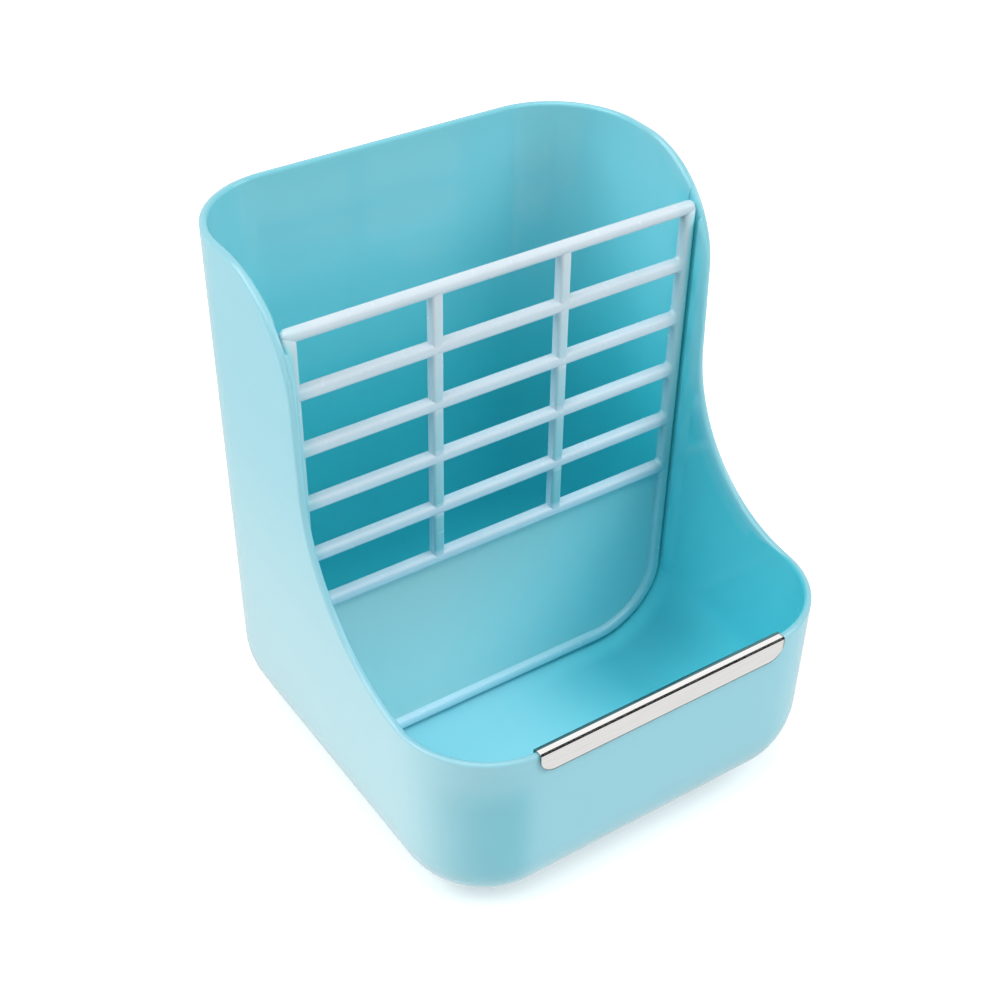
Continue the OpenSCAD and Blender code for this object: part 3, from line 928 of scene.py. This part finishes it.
def grille():
    top_bar = [(x, GRILLE_Y, TOP_BAR_Z) for x in np.linspace(-1, 1, 30) * (TOP_HALF + FRAME_R)]
    top_end = FRAME_R * 0.98
    frame_bar = [(x, GRILLE_Y, z) for x, z in frame_path()]
    obj = mesh_from("grille_frame", *merged((
        sweep(frame_bar, (0, 1, 0), BAR_SIDES, FRAME_R - FRAME_LESS, FRAME_SQUARE),
        sweep(top_bar, (0, 1, 0), BAR_SIDES, FRAME_R, ends=(top_end, top_end)))))
    bars, bends = bars_tree(), corner_tree()
    half = wall_in(PANEL_H) - GRILLE_GAP - FRAME_R
    meshes = [
        run_tree("cross_bars", bars, {
            "Count": ROWS, "First": metres(0, GRILLE_Y, TOP_BAR_Z - PITCH), "Step": metres(0, 0, -PITCH),
            "Half Length": metres(half, 0, 0), "Parts": BAR_PARTS, "Width": 2 * ROW_R * MM,
            "Edge Round": CROSS_ROUND * MM, "Finish": WHITE}),
        run_tree("uprights", bars, {
            "Count": 2, "First": metres(-COLUMN_GAP / 2, GRILLE_Y, (TOP_BAR_Z + PANEL_H) / 2),
            "Step": metres(COLUMN_GAP, 0, 0), "Half Length": metres(0, 0, (TOP_BAR_Z - PANEL_H) / 2),
            "Parts": BAR_PARTS, "Width": 2 * COLUMN_R * MM, "Edge Round": UPRIGHT_ROUND * MM,
            "Finish": WHITE})]
    quarter = {(1, 1): -math.pi / 2, (-1, 1): math.pi, (1, -1): 0.0, (-1, -1): math.pi / 2}
    for way, bend in JOINT_BENDS:
        for up in (-1, 1):
            first_z = TOP_BAR_Z - PITCH + up * bend
            first_x = wall_in(first_z) - GRILLE_GAP - FRAME_R - bend
            rot = Matrix.Rotation(math.pi / 2, 4, "X") @ Matrix.Rotation(quarter[(way, up)], 4, "Z")
            meshes.append(run_tree("joint_bends", bends, {
                "Count": ROWS - 1 if up < 0 else ROWS, "First": metres(way * first_x, GRILLE_Y, first_z),
                "Step": metres(-way * PITCH * SLOPE, 0, -PITCH), "Turn": tuple(rot.to_euler()),
                "Bend": bend * MM, "Thickness": (ROW_R - FRAME_LESS) * MM, "Finish": WHITE}))
    bm = bmesh.new()
    bm.from_mesh(obj.data)
    for mesh in meshes:
        bm.from_mesh(mesh)
    for f in bm.faces:
        f.smooth = True
        f.material_index = 0
    bm.to_mesh(obj.data)
    bm.free()
    blue_lights, shades, ups = [], [], []
    for v in obj.data.vertices:
        x, y, z = (c * 1000 for c in v.co)
        # Painted blue light, and painted shade on the side bars' outer sides.
        blue_lights.append(blue_light_share(x, y, z))
        shades.append(rise(outwards(x, z), *SHADE_RAMP) if z < TOP_BAR_Z - FRAME_R else 0.0)
        # Painted shade on upward faces above the panel.
        ups.append(max(v.normal.z, 0.0) if z > PANEL_H - ROW_R else 0.0)
    painted(obj, milky=blue_lights, shade=shades, upward=ups)
    return finish_piece(obj, "grille", "grille_plastic", WHITE, "grille")


PANEL_BACK = 1.7


def panel():
    """The thin solid panel behind the front of the bars, below the lowest cross bar."""
    right = [(x, z) for x, z in frame_path() if z <= PANEL_H and x > 0]
    edge = [(wall_in(PANEL_H) - GRILLE_GAP - FRAME_R, PANEL_H)] + right
    full = edge + [(-x, z) for x, z in reversed(edge)]
    count = len(full)
    points, faces = [], []
    for y in (GRILLE_Y + PANEL_BACK - PANEL_T, GRILLE_Y + PANEL_BACK):
        points += [(x, y, z) for x, z in full]
    faces.append(tuple(range(count)))
    faces.append(tuple(reversed(range(count, 2 * count))))
    for k in range(count):
        n = (k + 1) % count
        faces.append((k, n, count + n, count + k))
    obj = mesh_from("grille_panel", points, faces, False)
    return finish_piece(obj, "grille", "grille_plastic", MILKY)


# The chew guard


# The flap's painted shade along its foot starts at this share of its height. The painted reflection's dark
# line along the inner fold starts this far in.
GUARD_EDGE, FOLD_DARK_IN = 0.94, 0.6
INNER_FOLD_R, EDGE_BEVEL, NEAR = 0.05, 0.08, 0.02
LOW_DARK, END_DARK, FOLD_DEPTH = 0.6, 0.4, 0.3
DARK_ROW, DARK_FROM, BEVEL_OVER = 0.8, 0.9, 50
END_PARTS, FLAP_PARTS, LENGTH_PARTS = 13, 9, 30


def chew_guard():
    inner = WALL / 2 + GUARD_GAP
    front_y = -BODY_D / 2 - (BOWL_H - GUARD_DROP / 2) * SLOPE
    mid_y = front_y + WALL / 2
    half_l = CORNER_X + GUARD_PAST
    mid = inner + GUARD_T - FOLD_R
    fold_z = BOWL_H + GUARD_T - FOLD_R

    def sheet(side_out):
        """Half section from the top's middle to the flap's foot, on one face of the sheet."""
        pts = []
        r = FOLD_R if side_out else max(FOLD_R - GUARD_T, INNER_FOLD_R)
        pts.append((0.0, fold_z + r, 0))
        pts.append((mid - FOLD_DARK_IN, fold_z + r, 0))
        pts.append((mid - FOLD_DARK_IN * DARK_ROW, fold_z + r, 0))
        for a in np.linspace(0, math.pi / 2, FLAP_PARTS):
            pts.append((mid + r * math.sin(a), fold_z + r * math.cos(a), 0))
        for f in list(np.linspace(0, GUARD_EDGE - NEAR, FLAP_PARTS)[1:]) + [GUARD_EDGE, 1.0]:
            pts.append((mid + r, fold_z, f))
        return pts

    def foot_at(x):
        """Height of the flap's foot, which its round lower corners lift near the ends."""
        edge = min(half_l - abs(x), GUARD_R)
        return foot + GUARD_R - math.sqrt(max(GUARD_R ** 2 - (GUARD_R - edge) ** 2, 0.0))

    foot = BOWL_H - GUARD_DROP
    ends = [half_l - GUARD_R * (1 - math.cos(a * math.pi / 2)) for a in np.linspace(1, 0, END_PARTS)]
    xs = [-x for x in reversed(ends)]
    xs += list(np.linspace(-half_l + GUARD_R, half_l - GUARD_R, LENGTH_PARTS))[1:-1] + ends
    rings = []
    for x in xs:
        bottom = foot_at(x)
        ring = []
        for side in (-1, 1):
            pts = sheet(True)
            pts = pts if side > 0 else pts[:0:-1]
            ring += [(x, mid_y + side * u, z + (bottom - z) * f if f else z) for u, z, f in pts]
        for side in (1, -1):
            pts = sheet(False)
            pts = pts[::-1] if side > 0 else pts[1:]
            ring += [(x, mid_y + side * u, z + (bottom - z) * f if f else z) for u, z, f in pts]
        rings.append(ring)
    obj = mesh_from("chew_guard_sheet", *loft(rings))
    # Painted shade and painted reflection: dark at the sheet's ends and foot and along the inner fold, less
    # dark along the low edge and near the right end.
    cuts = []
    for v in obj.data.vertices:
        x, y, z = (c * 1000 for c in v.co)
        foot_z = foot_at(x)
        inner_fold = y > mid_y + mid - FOLD_DARK_IN * DARK_FROM and z > fold_z - FOLD_DEPTH
        low_edge = z < foot_z + (1 - GUARD_EDGE) * (fold_z - foot_z) + NEAR
        if abs(x) > half_l - NEAR or z < foot_z + NEAR or inner_fold:
            cuts.append(1.0)
        else:
            cuts.append(LOW_DARK if low_edge or x > half_l - END_DARK else 0.0)
    painted(obj, cut=cuts)
    edge = obj.modifiers.new("edge", "BEVEL")
    edge.width = EDGE_BEVEL * MM
    edge.segments = 2
    edge.limit_method = "ANGLE"
    edge.angle_limit = math.radians(BEVEL_OVER)
    return finish_piece(obj, "feeder", "guard_metal", GUARD_STEEL, "chew_guard")


# The cage hooks


SPRING_PARTS = 260


def spring_tree():
    """A wire wound round an upright line. Its first and last part lies flat."""
    tree, inp, out = geometry_tree("Wound spring", (
        ("Centre", VECTOR), ("Low", FLOAT), ("High", FLOAT), ("Radius", FLOAT), ("Wire", FLOAT),
        ("Turns", FLOAT), ("Flat", FLOAT), ("Finish", MATERIAL_SOCKET)))
    radius, low, turns, flat = (inp.outputs[name] for name in ("Radius", "Low", "Turns", "Flat"))
    line = node(tree, "GeometryNodeMeshLine", Count=SPRING_PARTS + 1).outputs[0]
    curve = node(tree, "GeometryNodeMeshToCurve", line).outputs[0]
    index = node(tree, "GeometryNodeInputIndex").outputs[0]
    turn = maths(tree, "MULTIPLY", maths(tree, "DIVIDE", index, SPRING_PARTS), turns)
    angle = maths(tree, "MULTIPLY", turn, 2 * math.pi)
    rising = maths(tree, "SUBTRACT", turns, maths(tree, "MULTIPLY", flat, 2))
    part = maths(tree, "DIVIDE", maths(tree, "SUBTRACT", turn, flat), rising)
    clamp = maths(tree, "MINIMUM", maths(tree, "MAXIMUM", part, 0), 1)
    span = maths(tree, "SUBTRACT", inp.outputs["High"], low)
    where = node(
        tree, "ShaderNodeCombineXYZ", maths(tree, "MULTIPLY", maths(tree, "COSINE", angle), radius),
        maths(tree, "MULTIPLY", maths(tree, "SINE", angle), radius),
        maths(tree, "ADD", low, maths(tree, "MULTIPLY", clamp, span))).outputs[0]
    added = node(tree, "ShaderNodeVectorMath", where, inp.outputs["Centre"]).outputs[0]
    put = node(tree, "GeometryNodeSetPosition", curve, Position=added).outputs[0]
    return end_tree(tree, inp, out, bar_along(tree, put, circle_of(tree, inp.outputs["Wire"], 12)))


COLLAR_Z = LUG_LOW_Z + SEAT_GAP
WASHER_Z = COLLAR_Z + COLLAR_L
SPRING_LOW = WASHER_Z + WASHER_T
SEAT_CLEAR = 0.03
COLLAR_ROUND, WASHER_ROUND, TIP_ROUND, COLLAR_GAP = 0.35, 0.15, 1.1, 0.02
SPRING_HIGH = HOOK_Z - LUG_T
SHANK_LOW = LUG_LOW_Z - LUG_T - HOOK_TRAVEL - 2
SHANK_PARTS, HOOK_PARTS, TIP_PARTS = 14, 21, 6


def hook_wire(x):
    """The shank, the half-round bend over the cage's wire and the tip that comes down behind it."""
    bend = (HOOK_CLEAR + 2 * WIRE_R) / 2
    path = [(x, SHANK_Y, z) for z in np.linspace(SHANK_LOW, HOOK_Z, SHANK_PARTS)]
    for a in np.linspace(math.pi, 0, HOOK_PARTS)[1:]:
        path.append((x, SHANK_Y + bend + bend * math.cos(a), HOOK_Z + bend * math.sin(a)))
    tip_z = HOOK_Z - HOOK_REACH - WIRE_R
    path += [(x, SHANK_Y + 2 * bend, z) for z in np.linspace(HOOK_Z, tip_z, TIP_PARTS)[1:]]
    return sweep(path, (1, 0, 0), BAR_SIDES, WIRE_R, ends=(0.0, TIP_ROUND))


def ring_profile(outer, inner, low, high, soft):
    """Section of a collar or washer with softened edges."""
    pts = []
    corners = ((inner, low, 1, 1), (outer, low, -1, 1), (outer, high, -1, -1), (inner, high, 1, -1))
    for r, z, s, t in corners:
        a = (r + s * soft, z)
        b = (r + s * soft * 0.3, z + t * soft * 0.3)
        c = (r, z + t * soft)
        pts += [c, b, a] if (s, t) in ((1, 1), (-1, -1)) else [a, b, c]
    return pts


def hooks():
    tree = spring_tree()
    for way, side in ((-1, "left"), (1, "right")):
        x = way * HOOK_X
        wire = mesh_from("hook_wire_" + side, *hook_wire(x))
        finish_piece(wire, "hook_" + side, "hook_steel", WIRE_STEEL, "hook_" + side)
        collar = mesh_from("hook_collar_" + side, *lathe(
            ring_profile(COLLAR_R, WIRE_R + COLLAR_GAP, COLLAR_Z, WASHER_Z - SEAT_CLEAR, COLLAR_ROUND),
            (x, SHANK_Y)))
        finish_piece(collar, "hook_" + side, "hook_steel", WIRE_STEEL, "collar_" + side)
        washer = mesh_from("hook_washer_" + side, *lathe(
            ring_profile(WASHER_R, WIRE_R + WIRE_GAP, WASHER_Z, SPRING_LOW, WASHER_ROUND),
            (x, SHANK_Y)))
        finish_piece(washer, "pull_" + side, "hook_steel", WIRE_STEEL, "washer_" + side)
        mesh = run_tree("coil", tree, {
            "Centre": metres(x, SHANK_Y, 0), "Low": (SPRING_LOW + SEAT_CLEAR + SPRING_WIRE / 2) * MM,
            "High": (SPRING_HIGH - SPRING_WIRE / 2) * MM, "Radius": SPRING_R * MM,
            "Wire": SPRING_WIRE / 2 * MM, "Turns": SPRING_TURNS, "Flat": SPRING_FLAT,
            "Finish": SPRING_STEEL})
        for f in mesh.polygons:
            f.use_smooth = True
        coil = new_object("hook_spring_" + side, mesh)
        finish_piece(coil, "feeder", "hook_steel", SPRING_STEEL, "spring_" + side)
        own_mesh(coil)


feeder_body()
grille()
panel()
chew_guard()
hooks()

# Camera, floor and light

# The photo's camera: its lens in pixels of the frame's width, its angles and its place in metres
LENS_PX = 1696.19
IMAGE_PX = 1000
TURN, TILT, ROLL = math.radians(34.79), math.radians(37.29), math.radians(-1.15)
EYE = Vector((-0.22255, -0.3107, 0.3750))
SENSOR = 36.0


def make_camera():
    data = bpy.data.cameras.new("camera")
    data.sensor_fit = "HORIZONTAL"
    data.sensor_width = SENSOR
    data.lens = LENS_PX * SENSOR / IMAGE_PX
    data.clip_start = 0.01
    data.clip_end = 50
    ahead = Vector((math.sin(TURN) * math.cos(TILT), math.cos(TURN) * math.cos(TILT), -math.sin(TILT)))
    level = Vector((math.cos(TURN), -math.sin(TURN), 0))
    down = ahead.cross(level)
    right = math.cos(ROLL) * level + math.sin(ROLL) * down
    below = -math.sin(ROLL) * level + math.cos(ROLL) * down
    obj = new_object("camera", data)
    axes = Matrix((right, -below, -ahead)).transposed().to_4x4()
    obj.matrix_world = Matrix.Translation(EYE) @ axes
    bpy.context.scene.camera = obj


# Name, place, size and power of each soft box. All face the same point of the object.
SOFT_BOXES = (
    ("softbox_right", (0.95, -0.88, 1.25), (1.2, 1.2), 18.5),
    ("softbox_left", (-1.2, 0.5, 1.2), (1.2, 1.2), 15),
    ("softbox_top", (-0.3, 0.0, 1.65), (1.8, 1.6), 22))
LIT_POINT = Vector((0, 0, 0.08))


def area_light(name, place, size, power):
    data = bpy.data.lights.new(name, "AREA")
    data.shape = "RECTANGLE"
    data.size, data.size_y = size
    data.energy = power
    turn = (Vector(place) - LIT_POINT).to_track_quat("Z", "Y").to_matrix().to_4x4()
    new_object(name, data).matrix_world = Matrix.Translation(Vector(place)) @ turn


FLOOR_HALF, FLOOR_DROP = 6.0, 0.0002
FLOOR_GREY, FLOOR_GLOW, FLOOR_MIRRORED = 0.82, 0.40, 0.80
FADE_FROM, FADE_TO = 0.5, 1.0
WHITE_LIGHT = (1, 1, 1, 1)


def mixed(tree, *fed):
    return node(tree, "ShaderNodeMixShader", *fed).outputs[0]


def emission(tree, strength):
    return node(tree, "ShaderNodeEmission", Color=WHITE_LIGHT, Strength=strength).outputs[0]


def make_floor():
    """A pale floor that keeps the shadow and fades to white far out. Gloss sees it at a plain level."""
    mat, tree, bsdf = material("pale_floor")
    tree.nodes.remove(bsdf)
    paths = node(tree, "ShaderNodeLightPath")
    seen = paths.outputs["Is Camera Ray"]
    grey = node(tree, "ShaderNodeBsdfDiffuse", Color=(FLOOR_GREY, FLOOR_GREY, FLOOR_GREY, 1)).outputs[0]
    glow = emission(tree, maths(tree, "MULTIPLY", seen, FLOOR_GLOW))
    both = node(tree, "ShaderNodeAddShader", grey, glow).outputs[0]
    chosen = mixed(tree, paths.outputs["Is Glossy Ray"], both, emission(tree, FLOOR_MIRRORED))
    where = node(tree, "ShaderNodeTexCoord").outputs["Object"]
    far = node(tree, "ShaderNodeVectorMath", where, operation="LENGTH").outputs["Value"]
    fade = maths(tree, "MULTIPLY", spread(tree, far, 0.0, 1.0, FADE_FROM, FADE_TO), seen)
    faded = mixed(tree, fade, chosen, emission(tree, 1.0))
    feed(tree, tree.nodes["Material Output"].inputs["Surface"], faded)
    mesh = bpy.data.meshes.new("floor")
    s, z = FLOOR_HALF, -FLOOR_DROP
    mesh.from_pydata([(-s, -s, z), (s, -s, z), (s, s, z), (-s, s, z)], [], [(0, 1, 2, 3)])
    obj = new_object("floor", mesh)
    mesh.materials.append(mat)


# Radius and axis of the card's curve in metres, its ends along X, and its arc in degrees
CARD_R, CARD_AXIS = 1.3, (-0.0705, 0.064)
CARD_X, CARD_ARC, CARD_PARTS = (0.45, 1.05), (85, 187), 25


def make_card():
    """A curved black card over the front, seen only in reflections. It is placed for the metal's fold."""
    mat, _, bsdf = material("black_card")
    bsdf.inputs["Base Color"].default_value = (0, 0, 0, 1)
    bsdf.inputs["Roughness"].default_value = 1.0
    bsdf.inputs["Specular IOR Level"].default_value = 0.0
    rows = []
    for a in np.radians(np.linspace(*CARD_ARC, CARD_PARTS)):
        y, z = CARD_AXIS[0] + CARD_R * math.cos(a), CARD_AXIS[1] + CARD_R * math.sin(a)
        rows.append([(x, y, z) for x in CARD_X])
    points = [p for row in rows for p in row]
    mesh = bpy.data.meshes.new("black_card")
    mesh.from_pydata(points, [], strip_faces(len(rows), 2, False))
    mesh.materials.append(mat)
    obj = new_object("black_card", mesh)
    for name in ("camera", "diffuse", "transmission", "volume_scatter", "shadow"):
        setattr(obj, "visible_" + name, False)


WORLD_LEVEL = 0.15


def make_world():
    """White where the camera, a reflection or a clear piece sees it, and dim as a light."""
    world = bpy.data.worlds.new("studio")
    bpy.context.scene.world = world
    world.use_nodes = True
    tree = world.node_tree
    back = tree.nodes["Background"]
    back.inputs["Color"].default_value = WHITE_LIGHT
    paths = node(tree, "ShaderNodeLightPath")
    seen = paths.outputs["Is Camera Ray"]
    for ray in ("Is Glossy Ray", "Is Transmission Ray"):
        seen = maths(tree, "MAXIMUM", seen, paths.outputs[ray])
    feed(tree, back.inputs["Strength"], spread(tree, seen, WORLD_LEVEL, 1.0, 0.0, 1.0))


bpy.context.scene.view_settings.view_transform = "Standard"
make_camera()
make_floor()
make_card()
make_world()
for soft_box in SOFT_BOXES:
    area_light(*soft_box)
